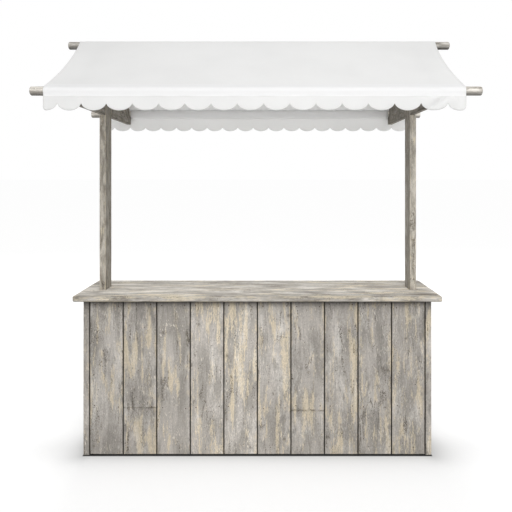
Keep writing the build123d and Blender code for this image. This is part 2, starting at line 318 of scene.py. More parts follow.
def timber_finish(
    name, dark, light, bare, chalk, crack, bare_cover, chalk_cover, smudge_cover, patch_width, line_width,
    lines, flecks, edges, cracks=0.4, speckle=0.1, band_width=0.07, knots=0.7,
):
    """Old timber: greys in bands and lines, bare, chalky and smudged patches, knots, flecks, pale edges."""
    material, tree = new_material(name)
    grain = grain_place(tree)

    def over(mask, strength, below, above):
        return mix_colour(mask * strength, below, srgb(*above))

    def patches(**numbers):
        return placed(tree, patch_group, grain, numbers)["Mask"]

    def small_flecks(**numbers):
        return placed(tree, fleck_group, grain, {"Amount": flecks, **numbers})["Mask"]

    wood = placed(tree, grain_group, grain, {"Band Width": band_width, "Line Width": line_width})
    colour = mix_colour(soft_step(wood["Bands"], 0.34, 0.66), srgb(*dark), srgb(*light))
    unpainted = patches(Offset=13, Width=patch_width, Stretch=7, Cover=bare_cover, Soft=0.08, Ragged=0.5)
    colour = over(unpainted, 0.8, colour, bare)
    haze = patches(Offset=29, Width=patch_width * 2, Stretch=3.5, Cover=chalk_cover, Soft=0.3, Ragged=0.6)
    colour = over(haze, 0.62, colour, chalk)
    smudges = {"Offset": 47, "Width": patch_width * 1.3, "Stretch": 3, "Cover": smudge_cover}
    colour = over(patches(Soft=0.12, Ragged=0.35, **smudges), 0.5, colour, [0.78 * c for c in dark])
    colour = scaled(colour, rescaled(wood["Relief"], 0.32, 0.68, 1 - lines, 1 + 0.7 * lines))
    breaks = stretched_noise(grain, 0.006, 0.011, detail=3.0, roughness=0.75, seed=37.0)
    colour = scaled(colour, rescaled(breaks, 0.3, 0.7, 1 - speckle, 1 + 0.8 * speckle))
    knot = placed(tree, knot_group, grain)
    colour = over(knot["Rings"], 0.35 * knots, colour, [0.7 * c for c in dark])
    colour = over(knot["Heart"], 0.6 * knots, colour, crack)
    worn = placed(tree, edge_group, grain, {"Edge": attribute(tree, "edge"), "Amount": edges})["Mask"]
    colour = over(worn, 0.65, colour, bare)
    strokes = small_flecks(Offset=61, Width=0.005, Stretch=5, Lean=0.35)
    colour = over(strokes, 0.8, colour, blend(bare, chalk, 0.7))
    scratches = small_flecks(Offset=97, Width=0.0045, Stretch=7, Lean=-0.12)
    colour = over(scratches, 0.7, colour, blend(bare, chalk, 0.5))
    pits = small_flecks(Offset=83, Width=0.0045, Stretch=1.8)
    colour = over(pits, 0.75, colour, crack)
    strings = placed(tree, crack_group, grain, {"Amount": cracks})["Mask"]
    colour = over(strings, 0.75, colour, crack)
    blotches = soft_step(stretched_noise(grain, 0.03, 0.03, roughness=0.7, seed=19.0), 0.34, 0.6)
    colour = over(attribute(tree, "stain") * blotches, 0.75, colour, crack)
    colour = over(attribute(tree, "grime"), 0.88, colour, [0.45 * c for c in crack])
    height = wood["Relief"] + unpainted * -0.3 + pits.apply("MAXIMUM", strings) * -0.8
    inputs = {
        # the tone attribute holds a piece's own tone, and on posts, gables, poles, the top and the uprights
        # painted light and shade
        "Base Color": scaled(colour, attribute(tree, "tone")),
        "Roughness": rescaled(wood["Fibres"], 0.3, 0.7, 0.68, 0.9),
        "Normal": bumped(height, TIMBER_RELIEF),
        "Specular IOR Level": 0.25,
    }
    return surfaced(material, inputs)


def end_grain_finish(name, dark, light):
    """Sawn ends: growth rings round a pith beside the piece, with fine specks."""
    material, tree = new_material(name)
    grain = grain_place(tree)
    wander = stretched_noise(grain, 0.03, 0.03, detail=3.0, seed=5.0)
    x, y, _ = split(grain)
    ringed = length(combined(tree, x, y)) * 1500.0 + wander * 9.0
    rings = rescaled(ringed.apply("SINE"), -1.0, 1.0, 0.0, 1.0)
    mask = rings * 0.5 + stretched_noise(grain, 0.004, 0.004, detail=3.0, seed=61.0) * 0.6
    inputs = {
        # the tone attribute holds painted light and shade here too, as on the timbers' faces
        "Base Color": scaled(mix_colour(mask, srgb(*dark), srgb(*light)), attribute(tree, "tone")),
        "Roughness": 0.9,
        "Normal": bumped(mask, 0.0008),
        "Specular IOR Level": 0.2,
    }
    return surfaced(material, inputs)


painted_boards = timber_finish(
    "painted boards",
    dark=(158, 153, 146), light=(190, 184, 177), bare=(220, 206, 180), chalk=(234, 229, 222),
    crack=(82, 72, 57), bare_cover=0.458, chalk_cover=0.52, smudge_cover=0.4, patch_width=0.034,
    lines=0.2, line_width=0.006, flecks=0.75, edges=0.42, cracks=0.42, speckle=0.2,
)
counter_top_finish = timber_finish(
    "worn counter top",
    dark=(152, 145, 135), light=(212, 207, 199), bare=(226, 214, 190), chalk=(240, 236, 228),
    crack=(104, 95, 83), bare_cover=0.438, chalk_cover=0.5, smudge_cover=0.42, patch_width=0.045,
    lines=0.32, line_width=0.011, flecks=0.45, edges=0.5, cracks=0.5, band_width=0.055, knots=0.4,
)
frame_finish = timber_finish(
    "bare frame timber",
    dark=(146, 139, 128), light=(198, 192, 181), bare=(208, 197, 174), chalk=(218, 213, 205),
    crack=(70, 62, 52), bare_cover=0.408, chalk_cover=0.42, smudge_cover=0.42, patch_width=0.014,
    lines=0.22, line_width=0.004, flecks=0.6, edges=0.5, band_width=0.022, knots=0.6,
)
pole_finish = timber_finish(
    "round pole timber",
    dark=(152, 147, 139), light=(206, 202, 195), bare=(208, 200, 184), chalk=(226, 223, 217),
    crack=(74, 66, 56), bare_cover=0.308, chalk_cover=0.45, smudge_cover=0.36, patch_width=0.014,
    lines=0.22, line_width=0.004, flecks=0.65, edges=0.4, band_width=0.02, knots=0.3,
)
sawn_ends = end_grain_finish("sawn ends", dark=(96, 86, 72), light=(164, 152, 134))

# ---- Timber pieces ----
BOARD_EASE = 0.0012  # rounding of the boards' cut edges
TIMBER_EASE = 0.0022  # rounding of sawn timbers' edges
POLE_END_EASE = 0.008
BOARD_WEAR = 0.0026  # deepest wear of a board's edge
TIMBER_WEAR = 0.003
EDGE_BAND = 0.007  # width of the worn band beside an edge
EVEN_WEAR = 0.25  # the even part of an edge's wear, against its short unevenness
SHORT_WEAR, LONG_WEAR = 0.022, 0.11  # lengths of its unevenness
LONG_WEAR_SHARE = 0.6  # weight of the long unevenness, against the short one
NARROW = 0.006  # sloping faces below this width in the CAD are eased edges
SHARP = radians(60)
END_FACE = 0.95  # how square to a timber's length a face is, as a cosine, that counts as a sawn end
LIP_REACH = 0.0056  # of the lips behind the grooves between an end's boards and the corner posts
GROOVE_LIP = 0.0014  # a groove's sides are grimy from this far behind a board's face
STAIN_REACH = 0.013  # over which a damp line fades, up and down
POLE_UNDERSIDE_PAINTED_SHADE = 0.7  # painted shade: how much darker a pole is painted along its underside
POLE_END_WEAR = 0.012  # over which a pole's worn end fades
POLE_LUMPS = (0.0009, 0.02, 0.3)  # depth, width and length of the unevenness of a pole
POLE_CHECKS = (0.0012, 0.006, 0.5)  # the same of the checks, the long shallow cracks along it
POLE_SEGMENTS = 40

# distances between the cross cuts that let a timber's edges be worn away
BOARD_CUTS, POST_CUTS, GABLE_CUTS, RAIL_CUTS, POLE_CUTS = 0.014, 0.02, 0.025, 0.03, 0.03
SHADE_CUTS = (0.004, 0.008, 0.012, 0.017, 0.023, 0.03)  # cuts below the top of an upright, for its painted shadow


def cut_across(bm, direction, places):
    """Cuts the whole mesh by planes square to a direction."""
    for place in places:
        whole = [*bm.verts, *bm.edges, *bm.faces]
        bmesh.ops.bisect_plane(bm, geom=whole, dist=1e-6, plane_co=direction * place, plane_no=direction)


def span(bm, direction):
    reaches = [v.co.dot(direction) for v in bm.verts]
    return min(reaches), max(reaches)


def number_layers(bm, *names):
    return [bm.verts.layers.float.new(name) for name in names]


def round_off(bm, offset, segments):
    """Rounds the sharp edges, and gives the new faces."""
    return bmesh.ops.bevel(
        bm, geom=[e for e in bm.edges if e.calc_face_angle(0) > SHARP], offset=offset, offset_type="OFFSET",
        segments=segments, profile=0.5, affect="EDGES", clamp_overlap=True, material=-1,
    )["faces"]


def add_lip(bm, way, face):
    """Draws the inner half of a board's edge out into a lip, which closes the groove beside it."""
    middle = sum(span(bm, face)) / 2
    cut_across(bm, face, [middle])
    end = span(bm, way)[1]
    inner = []
    for f in bm.faces:
        place = f.calc_center_median()
        if f.normal.dot(way) > 0.99 and place.dot(way) > end - 0.001 and place.dot(face) < middle:
            inner.append(f)
    drawn = bmesh.ops.extrude_face_region(bm, geom=inner)["geom"]
    verts = [v for v in drawn if isinstance(v, bmesh.types.BMVert)]
    bmesh.ops.translate(bm, verts=verts, vec=way * LIP_REACH)


def new_object(name, data):
    made = bpy.data.objects.new(name, data)
    bpy.context.scene.collection.objects.link(made)
    return made


def meshed(bm, name, materials):
    """Turns a bmesh into an object with its materials."""
    mesh = bpy.data.meshes.new(name)
    bm.to_mesh(mesh)
    bm.free()
    for material in materials:
        mesh.materials.append(material)
    return new_object(name, mesh)


def stored(bm, name, nodes, materials):
    """Turns a bmesh into a piece of the stall, which stands for some nodes or for none."""
    piece = meshed(bm, name, materials)
    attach(piece, "root")
    if nodes:
        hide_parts(*nodes)
    return piece


def wear_away(bm, along, face, eased, depth, tone, grimy, stains, random):
    """Writes the grain, edge, tone, grime and stain layers, then wears the eased edges back unevenly."""
    side = along.cross(face)
    grain_layer = bm.verts.layers.float_vector.new("grain")
    edge_layer, tone_layer, grime_layer, stain_layer = number_layers(bm, "edge", "tone", "grime", "stain")
    shift = Vector([random.uniform(-9, 9) for _ in range(3)])
    back, front = span(bm, face)
    moves = []
    for v in bm.verts:
        v[grain_layer] = Vector((v.co.dot(side), v.co.dot(face), v.co.dot(along))) + shift
        v[tone_layer] = tone(v.co) if callable(tone) else tone
        v[stain_layer] = float(any(abs(v.co.dot(along) - place) < 0.001 for place in stains))
        if callable(grimy):
            v[grime_layer] = float(grimy(v.co))
        elif grimy:
            v[grime_layer] = float(back + GROOVE_LIP < v.co.dot(face) < front - GROOVE_LIP)
        at_edge = any(f[eased] for f in v.link_faces)
        v[edge_layer] = float(at_edge)
        if not at_edge:
            continue
        push = v.normal.copy()
        for f in v.link_faces:
            if not f[eased]:
                push -= push.dot(f.normal) * f.normal
        if push.length < 0.05:
            continue
        place = v[grain_layer]
        worn = EVEN_WEAR + noise.noise(place / SHORT_WEAR) + LONG_WEAR_SHARE * noise.noise(place / LONG_WEAR)
        moves.append((v, push.normalized() * depth * max(0.0, worn) / (1 + LONG_WEAR_SHARE)))
    for v, move in moves:
        v.co -= move


def worn_timber(
    node, along, face, material=frame_finish, ease=TIMBER_EASE, depth=TIMBER_WEAR,
    tone=1.0, spacing=BOARD_CUTS, grimy=False, cuts_from_top=(), stains=(), lip=None,
):
    """A worn copy of a timber: eased edges, cut into short lengths and worn back along its edges."""
    random = Random(node)
    side = along.cross(face)
    bm = bmesh.new()
    bm.from_mesh(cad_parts[node].data)
    bmesh.ops.remove_doubles(bm, verts=bm.verts, dist=1e-5)
    bmesh.ops.dissolve_limit(bm, angle_limit=radians(0.5), verts=bm.verts, edges=bm.edges)
    if lip:
        add_lip(bm, lip, face)
    eased = bm.faces.layers.int.new("eased")
    for f in bm.faces:
        straight = max(abs(f.normal.dot(a)) for a in (along, side, face)) > 0.999
        width = f.calc_area() / max(e.calc_length() for e in f.edges)
        f[eased] = int(not straight and width < NARROW)
    for f in round_off(bm, ease, 2):
        f[eased] = 1
    low, high = span(bm, along)
    count = max(1, round((high - low) / spacing))
    step = (high - low) / count
    cut_across(bm, along, [low + (i + random.uniform(-0.2, 0.2)) * step for i in range(1, count)])
    cut_across(bm, along, [high - distance for distance in cuts_from_top])
    cut_across(bm, along, [place + off for place in stains for off in (-STAIN_REACH, 0, STAIN_REACH)])
    for direction in (side, face):
        low, high = span(bm, direction)
        if high - low > 2.5 * EDGE_BAND:
            cut_across(bm, direction, (low + EDGE_BAND, high - EDGE_BAND))
    wear_away(bm, along, face, eased, depth, tone, grimy, stains, random)
    for f in bm.faces:
        f.smooth = bool(f[eased])
        if abs(f.normal.dot(along)) > END_FACE and not f[eased]:
            f.material_index = 1
    return stored(bm, f"worn_{node}", (node,), (material, sawn_ends))


def pole_noise(out, along, form):
    """Noise over a pole, with the width and length of its lumps or its checks."""
    _, width, run = form
    return noise.noise(Vector((out.y / width, out.z / width, along / run)))


def worn_pole(node, material, tone):
    """A round pole with rounded ends, long shallow checks and a slightly uneven surface."""
    middle = centre(node)
    radius = size(node).z / 2
    bm = bmesh.new()
    bmesh.ops.create_cone(
        bm, cap_ends=True, cap_tris=False, segments=POLE_SEGMENTS, radius1=radius, radius2=radius,
        depth=size(node).x, matrix=Matrix.Translation(middle) @ Matrix.Rotation(pi / 2, 4, "Y"),
    )
    round_off(bm, POLE_END_EASE, 4)
    start, end = span(bm, X)
    count = round((end - start) / POLE_CUTS)
    cut_across(bm, X, [start + i * (end - start) / count for i in range(1, count)])
    grain_layer = bm.verts.layers.float_vector.new("grain")
    edge_layer, tone_layer = number_layers(bm, "edge", "tone")
    shift = Random(node).uniform(-9, 9)
    for v in bm.verts:
        out = Vector((0, v.co.y - middle.y, v.co.z - middle.z))
        along = v.co.x + shift
        near_end = min(v.co.x - start, end - v.co.x)
        v[grain_layer] = Vector((out.y, out.z, along))
        v[edge_layer] = max(0.0, 1 - near_end / POLE_END_WEAR)
        # painted shade: a pole's tone darkens towards its underside
        v[tone_layer] = tone * (1 - POLE_UNDERSIDE_PAINTED_SHADE * smooth((0.15 - out.z / radius) / 1.1))
        lumps = POLE_LUMPS[0] * max(0.0, 0.5 + pole_noise(out, along, POLE_LUMPS))
        checks = POLE_CHECKS[0] * max(0.0, pole_noise(out, along, POLE_CHECKS) - 0.25)
        v.co -= out.normalized() * (lumps + checks)
    for f in bm.faces:
        sawn = abs(f.normal.x) > END_FACE
        f.smooth = not sawn
        f.material_index = int(sawn)
    return stored(bm, f"worn_{node}", (node,), (material, sawn_ends))


# ---- Tones, painted light and shade, and grime ----
POST_SIDE_PAINTED_SHADE = 0.3  # painted shade: how much darker a tall post's sides are than its front and back
POST_FACE_BAND = 0.0035  # depth of the band at a tall post's front and back that takes the front's tone
# painted light on the tall posts' fronts and backs, the right post's lighter
POST_FACE_PAINTED_LIGHT = {"left": 0.98, "right": 1.19}
# painted shade on the gable timbers under the canopy, for each side
GABLE_PAINTED_SHADE = {"left": 0.59, "right": 0.545}
BOARD_TONES = (0.87, 0.88, 1.0, 1.09, 1.15, 1.03, 0.96, 0.90, 0.88, 0.88)  # front boards, left to right
TIE_UNDERSIDE, TIE_EDGE = 0.003, 0.004  # height of a tie's underside, and width of its painted dark edges
TIE_EDGE_SHADE, TIE_MIDDLE_SHADE = 0.6, 1.1  # painted shade on the underside's edges and painted light along its middle, against the rest of the tie
SIDE_BOARD_TONE = 0.97
CORNER_POST_TONE = 0.95
CORNER_GRIME = (0.0025, 0.0005)  # how far past a corner post's inner faces grime reaches, in X and Y
# painted light: each pole's tone is raised, the eave poles under the canopy more, the back pole most
POLE_TONES = {"ridge_pole": 1.12, "front_pole": 1.55, "back_pole": 1.95}
# painted light and shade: the top's tone at its front and at its back
TOP_TONE_FRONT, TOP_TONE_BACK = 1.2, 0.9
# painted shade on the top's rim and on its underside, and how far each reaches
TOP_RIM_PAINTED_SHADE, RIM_WIDTH = 0.95, 0.0095
TOP_UNDERSIDE_PAINTED_SHADE, UNDERSIDE_DEPTH = 0.5, 0.006
OVERHANG_PAINTED_SHADOW = ((0.85, 0.024), (0.68, 0.05), (0.16, 0.16))  # painted shadow under the top's overhang: strength, and reach down from the top

POST_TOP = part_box("post_right")[1]
CORNER_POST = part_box("corner_post_front_right")[0]
TIE_LOW, TIE_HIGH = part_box("gable_tie_right")
TOP_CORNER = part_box("top_plank_1")[0]


def side_of(place):
    return "left" if place.x < 0 else "right"


def post_tone(place):
    """Painted shade: a post's sides are darker than its front and back, most of all up under the canopy."""
    if abs(place.y) > POST_TOP.y - POST_FACE_BAND:
        return POST_FACE_PAINTED_LIGHT[side_of(place)]
    return 1 - POST_SIDE_PAINTED_SHADE * (0.75 + 0.25 * smooth(place.z / POST_TOP.z))


# painted shade: the gable timbers' tone under the canopy
def gable_tone(place):
    return GABLE_PAINTED_SHADE[side_of(place)]


def tie_tone(place):
    """Painted shade: a tie is darker under the canopy, and darkest along its lower edges."""
    if place.z > TIE_LOW.z + TIE_UNDERSIDE:
        return gable_tone(place)
    at_edge = min(abs(abs(place.x) - x) for x in (TIE_LOW.x, TIE_HIGH.x)) < TIE_EDGE
    return gable_tone(place) * (TIE_EDGE_SHADE if at_edge else TIE_MIDDLE_SHADE)


def painted_shadow_under_top(tone):
    """A tone for the counter's uprights, with a painted shadow close under the top's overhang."""

    def at(place):
        shaded = tone
        for strength, reach in OVERHANG_PAINTED_SHADOW:
            shaded *= 1 - strength * (1 - smooth((TOP_CORNER.z - place.z) / reach))
        return shaded

    return at


def corner_grime(place):
    """The corner posts' inner faces are grimy, where the groove beside the first board shows them."""
    past_x, past_y = CORNER_GRIME
    return abs(place.x) < CORNER_POST.x + past_x and abs(place.y) < -CORNER_POST.y + past_y


def top_tone(place):
    """Painted light along the top's front and painted shade towards its back, under the canopy; painted shade
    on its rim and underside.
    """
    if place.z < TOP_CORNER.z + UNDERSIDE_DEPTH:
        return TOP_UNDERSIDE_PAINTED_SHADE
    if abs(place.y) > -TOP_CORNER.y - RIM_WIDTH or abs(place.x) > -TOP_CORNER.x - RIM_WIDTH:
        return TOP_RIM_PAINTED_SHADE
    return TOP_TONE_FRONT + (TOP_TONE_BACK - TOP_TONE_FRONT) * smooth(0.35 + place.y / 0.36)


# ---- The counter, the posts, the gables and the poles ----
FRONT_BOARDS = [f"front_board_{i:02d}" for i in range(1, 11)]
SIDES = {"left": -X, "right": X}
SIDE_BOARDS = {side: [f"side_board_{side}_{i}" for i in (1, 2)] for side in SIDES}
FRONT_RAILS = ("front_rail_top", "front_rail_bottom")
SIDE_RAILS = {side: (f"side_rail_top_{side}", f"side_rail_bottom_{side}") for side in SIDES}

EAVE_Y, EAVE_Z = centre("back_pole").yz
RIDGE_Z = centre("ridge_pole").z
PITCH = atan2(RIDGE_Z - EAVE_Z, EAVE_Y)

# heights at which damp has bled through two front boards from the rail behind
RAIL_Z = centre("front_rail_bottom").z
RAIL_STAINS = {"front_board_02": (RAIL_Z,), "front_board_07": (RAIL_Z - 0.02,)}


def worn_board(node, out, tone, stains=(), lip=None):
    worn_timber(
        node, Z, out, painted_boards, BOARD_EASE, BOARD_WEAR, painted_shadow_under_top(tone),
        grimy=True, cuts_from_top=SHADE_CUTS, stains=stains, lip=lip,
    )


for node, tone in zip(FRONT_BOARDS, BOARD_TONES):
    worn_board(node, -Y, tone, RAIL_STAINS.get(node, ()))
for side_name, out in SIDES.items():
    rearmost = max(SIDE_BOARDS[side_name], key=lambda name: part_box(name)[1].y)
    for node in SIDE_BOARDS[side_name]:
        worn_board(node, out, SIDE_BOARD_TONE, lip=Y if node == rearmost else -Y)
    for end_name in ("front", "back"):
        worn_timber(
            f"corner_post_{end_name}_{side_name}", Z, -Y, painted_boards,
            tone=painted_shadow_under_top(CORNER_POST_TONE), grimy=corner_grime, cuts_from_top=SHADE_CUTS,
        )
    for node in SIDE_RAILS[side_name]:
        worn_timber(node, Y, out, spacing=RAIL_CUTS)
    worn_timber(f"post_{side_name}", Z, -Y, tone=post_tone, spacing=POST_CUTS)
    worn_timber(f"gable_tie_{side_name}", Y, out, tone=tie_tone, spacing=GABLE_CUTS)
    for end_name, way in (("front", -1), ("back", 1)):
        slope = Vector((0, way * cos(PITCH), -sin(PITCH)))
        worn_timber(f"rafter_{end_name}_{side_name}", slope, out, tone=gable_tone, spacing=GABLE_CUTS)
for i in (1, 2, 3):
    worn_timber(f"top_plank_{i}", X, Z, counter_top_finish, tone=top_tone)
for node in (*FRONT_RAILS, "back_rail"):
    worn_timber(node, X, -Y, spacing=RAIL_CUTS)
worn_timber("top_bearer", Y, X, spacing=RAIL_CUTS)
for node, tone in POLE_TONES.items():
    worn_pole(node, pole_finish, tone)

# ---- Nails ----
NAIL_RADIUS = 0.0032
NAIL_RISE = 0.0011
NAIL_CROWN = 0.75  # radius of a head's flat top, against its rim
NAIL_INSET = 0.028
NAIL_STRAY = (0.006, 0.012)  # how far a nail may be off its place, across the board and along it


def iron_finish():
    """Old iron nail heads, dark with brown rust."""
    material, tree = new_material("rusty nail heads")
    place = put(tree, "ShaderNodeTexCoord").outputs["Object"]
    rust = stretched_noise(place, 0.002, 0.002, detail=3.0)
    colour = mix_colour(rust, srgb(58, 50, 44), srgb(98, 72, 54))
    return surfaced(material, {"Base Color": colour, "Roughness": 0.75, "Metallic": 0.3})


nail_finish = iron_finish()


def nail_heads(name, boards, out, rails):
    """Two nail heads on every board over the middle of each rail."""
    bm = bmesh.new()
    random = Random(name)
    side = Z.cross(out)
    turn = out.to_track_quat("Z", "Y").to_matrix().to_4x4()
    shown = min(abs(size(node).dot(side)) for node in boards)  # width of a board without its tongue
    for node in boards:
        low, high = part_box(node)
        face = max(low.dot(out), high.dot(out))
        first = min(low.dot(side), high.dot(side))
        for rail in rails:
            for across in (first + NAIL_INSET, first + shown - NAIL_INSET):
                stray, lift = (random.uniform(-reach, reach) for reach in NAIL_STRAY)
                place = side * (across + stray) + out * (face + NAIL_RISE / 2) + Z * (centre(rail).z + lift)
                bmesh.ops.create_cone(
                    bm, cap_ends=True, cap_tris=False, segments=10, depth=NAIL_RISE, radius1=NAIL_RADIUS,
                    radius2=NAIL_RADIUS * NAIL_CROWN, matrix=Matrix.Translation(place) @ turn,
                )
    return stored(bm, name, (), (nail_finish,))


nail_heads("front_nail_heads", FRONT_BOARDS, -Y, FRONT_RAILS)
for side_name, out in SIDES.items():
    nail_heads(f"{side_name}_nail_heads", SIDE_BOARDS[side_name], out, SIDE_RAILS[side_name])

# ---- Canvas ----
CANVAS_THICKNESS = 0.0016
HEM_WIDTH = 0.012
STITCH_INSET, STITCH_LENGTH = 0.002, 0.004
FLAP_PAINTED_SHADE = 0.1  # painted shade: how much darker the front valance is painted
POCKET_PAINTED_LIGHT = 0.9  # painted light: how much lighter a pole's pocket is painted along its foot, in the same measure


def make_weave_group():
    """Plain weave: threads over and under each other, with slubs, from a map in metres."""
    tree, flat, given = new_group("plain weave", {"Thread": 0.0011})
    across, along, _ = split(flat)
    turn = pi / given["Thread"]
    woven = (across * turn).apply("SINE") * (along * turn).apply("SINE")
    slubs_along = noise_at(vector_math("MULTIPLY", flat, (30.0, 900.0, 1.0)), 2.0)
    slubs_across = noise_at(vector_math("MULTIPLY", flat, (900.0, 30.0, 1.0)), 2.0)
    slubs = slubs_along + slubs_across
    return ended(tree, Relief=woven * 0.5 + slubs, Tone=rescaled(slubs, 0.7, 1.3, 0.985, 1.01))


weave_group = make_weave_group()


def canvas_finish(name, letting_through):
    """White cotton canvas with a stitched hem and the faintest greying, which lets some light through."""
    material, tree = new_material(name)
    flat = put(tree, "ShaderNodeUVMap", uv_map="cut").outputs["UV"]
    hem, doubled, painted_shading = (attribute(tree, layer) for layer in ("hem", "doubled", "painted_shading"))
    weave = placed(tree, weave_group, flat)
    clouds = soft_step(noise_at(flat, 3.0, scale=2.2), 0.35, 0.7)
    colour = mix_colour(clouds, srgb(244, 244, 243), srgb(240, 240, 239))
    # doubled cloth is whiter: partly real, as two plies let less light through, and partly a painted
    # highlight on the band over the eave pole and on the pocket strip
    colour = mix_colour(doubled, colour, srgb(245, 245, 245))
    on_line = 1.0 - soft_step(abs(hem - (HEM_WIDTH - STITCH_INSET)), 0.0004, 0.0009)
    across, along, _ = split(flat)
    dash = soft_step(((across + along) * (2 * pi / STITCH_LENGTH)).apply("SINE"), -0.5, 0.0)
    colour = mix_colour(on_line * dash * 0.6, colour, srgb(214, 212, 206))
    # painted shade: a dark rim along the hem's rolled edge
    rim = 1.0 - soft_step(hem, 0.0012, 0.0032)
    colour = mix_colour(rim * 0.7, colour, srgb(196, 195, 192))
    inputs = {
        # painted shading: darker on the front valance and along its fold, lighter along the pockets' foot
        "Base Color": scaled(colour, weave["Tone"] - painted_shading * FLAP_PAINTED_SHADE),
        "Roughness": 0.92,
        "Normal": bumped(weave["Relief"] - on_line * 1.5, 0.0003, 0.6),
        "Specular IOR Level": 0.15,
        "Sheen Weight": 0.08,
        "Subsurface Weight": letting_through,
        "Subsurface Radius": (1, 1, 1),
        "Subsurface Scale": 0.004,
    }
    return surfaced(material, inputs)


canvas = canvas_finish("white canvas", 0.4)
doubled_canvas = canvas_finish("doubled white canvas", 0.3)

LIE = 0.0004  # room between a pole and the canvas on it
SAG, BILLOW = 0.009, 0.0022  # how deep a slope hangs between its poles, and how unevenly
SIDE_PULL = 0.003  # how much less it sags along its side edges
SIDE_HOLLOW = 0.023  # how far a slope's side edges curve in
CORNER_RADIUS = 0.02  # of the valances' lower corners, where the cloth's edge cuts a lobe
CANVAS_WIDTH = size("canopy_roof").x
LIE_RADIUS = size("ridge_pole").z / 2 + LIE + CANVAS_THICKNESS / 2

# A half of the cloth is worked out in a plane across the stall, as (reach outwards, height).
EAVE, RIDGE = Vector((EAVE_Y, EAVE_Z)), Vector((0.0, RIDGE_Z))
UPHILL = Vector((-cos(PITCH), sin(PITCH)))
OFF_SLOPE = Vector((sin(PITCH), cos(PITCH)))
SEAM_TUCK, SEAM_DROP = 0.005, 0.029  # a pocket's seam, behind the front of its pole and below its centre
SEAM = Vector((EAVE_Y + LIE_RADIUS - SEAM_TUCK, EAVE_Z - SEAM_DROP))
WRAP_START = radians(-30)  # where the cloth first lies on an eave pole, above the seam
SEAM_SHARE = 0.3  # of the rows between the seam and the slope, up to there
POCKET_TOP = 0.042  # share of a slope up to which the pocket's strip doubles the cloth

# width and depth of a valance's lobes, and the widths of the first ones, which were cut narrower
VALANCE_CUT = {"front": (0.1386, 0.037, (0.075, 0.126, 0.132)), "back": (0.113, 0.027, (0.058,))}
STRETCH = {"front": 0.006, "back": 0.001}  # how far a valance has stretched with use
VALANCE_FOOT = {end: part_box(f"{end}_valance")[0].z - STRETCH[end] for end in VALANCE_CUT}
SLIP = {"front": -0.0075, "ridge": -0.002, "back": -0.003}  # how far the cloth has slipped along each pole
CLOTH_SEEDS = {"front": (0.7, 3.3, 1.0), "back": (4.7, 8.3, 6.0)}  # of its waves, ripples and billows
WAVE_LENGTH, RIPPLE_LENGTH, BILLOW_LENGTH = 0.31, 0.12, 0.55
# how far a valance's hem hangs off the plumb: at rest, and by a wave, a ripple and a corner's curl
HEM_REST, HEM_WAVE, HEM_RIPPLE, HEM_CURL = -0.003, 0.006, 0.004, 0.007
SEAM_RIPPLE = 0.0015
CURL_FROM, PULL_FROM = 0.93, 0.8  # shares of half the width: corners curl out, side edges sag less

FOOT_X = centre("rafter_front_right").x
FOOT_GAP, FOOT_REACH, FOOT_FADE = 0.002, 0.024, 0.03  # how far out a foot holds the cloth, and how wide
FOLD_TOP = Vector((1.024, 2.096))  # a soft fold hangs across the front valance, by its right end
FOLD_FOOT = Vector((0.932, 2.019))
FOLD_RISE = 0.017
FOLD_SWELL = 0.7  # rise of the cloth above the fold, as a share of the fold's rise
FOLD_PAINTED_SHADE = 0.75  # painted shade along the fold, against the valance's painted shade
FOLD_CLEAR = 0.012  # below the seam, over which the fold comes in
# where each rises and falls again: below the fold's line in metres, and along it as shares of its length
CREST_BELOW, SWELL_BELOW = (-0.002, 0.016, 0.02, 0.1), (-0.1, -0.04, -0.03, -0.002)
FOLD_SHADE_BELOW, FOLD_SHADE_ALONG = (-0.034, -0.008, 0.001, 0.008), (-0.25, 0.05, 0.8, 1.2)
FOLD_ALONG = (-0.25, 0.05, 1.0, 1.4)

CANVAS_COLUMNS = 288
SIDE_CROWDING = 1.6  # how strongly the columns crowd towards the side edges
FLAP_ROWS, WRAP_ROWS, SLOPE_ROWS, RIDGE_ROWS = 9, 9, 34, 4


def cusp_places(cut):
    """Where the lobes of a valance meet, from the left edge of the cloth to the right."""
    lobe, _, first_lobes = cut
    places = [0.0]
    for width in first_lobes:
        places.append(places[-1] + width)
    while places[-1] + lobe < CANVAS_WIDTH - 1e-6:
        places.append(places[-1] + lobe)
    places.append(CANVAS_WIDTH)
    return [place - CANVAS_WIDTH / 2 for place in places]


def column_places(cut):
    """An x for every column of the cloth, with a column on each cusp and more towards the side edges."""
    cusps = cusp_places(cut)
    numbers = [round((c + CANVAS_WIDTH / 2) / CANVAS_WIDTH * CANVAS_COLUMNS) for c in cusps]
    places = []
    for (a, b), (m, n) in zip(zip(cusps, cusps[1:]), zip(numbers, numbers[1:])):
        shares = [k / (n - m) for k in range(n - m)]
        if a == cusps[0]:
            shares = [s**SIDE_CROWDING for s in shares]
        if b == cusps[-1]:
            shares = [1 - (1 - s) ** SIDE_CROWDING for s in shares]
        places += [a + (b - a) * s for s in shares]
    return [*places, cusps[-1]]


def lobe_drop(cut, x):
    """How far the hem hangs below the cusps at x: lobes between a round and an oval outline."""
    lobe, deepest, _ = cut
    cusps = cusp_places(cut)
    into_corner = max(CORNER_RADIUS - min(x - cusps[0], cusps[-1] - x), 0.0)
    rounding = CORNER_RADIUS - sqrt(CORNER_RADIUS**2 - into_corner**2)
    a, b = next(pair for pair in zip(cusps, cusps[1:]) if x <= pair[1] + 1e-9)
    if a == cusps[0]:
        a = b - lobe
    if b == cusps[-1]:
        b = a + lobe
    half = (b - a) / 2
    depth = min(deepest, half)
    radius = (half**2 + depth**2) / (2 * depth)
    off = min(abs(x - (a + b) / 2), half)
    arc = sqrt(radius**2 - off**2) - (radius - depth)
    oval = depth * sqrt(1 - (off / half) ** 2)
    return (arc + oval) / 2 - rounding


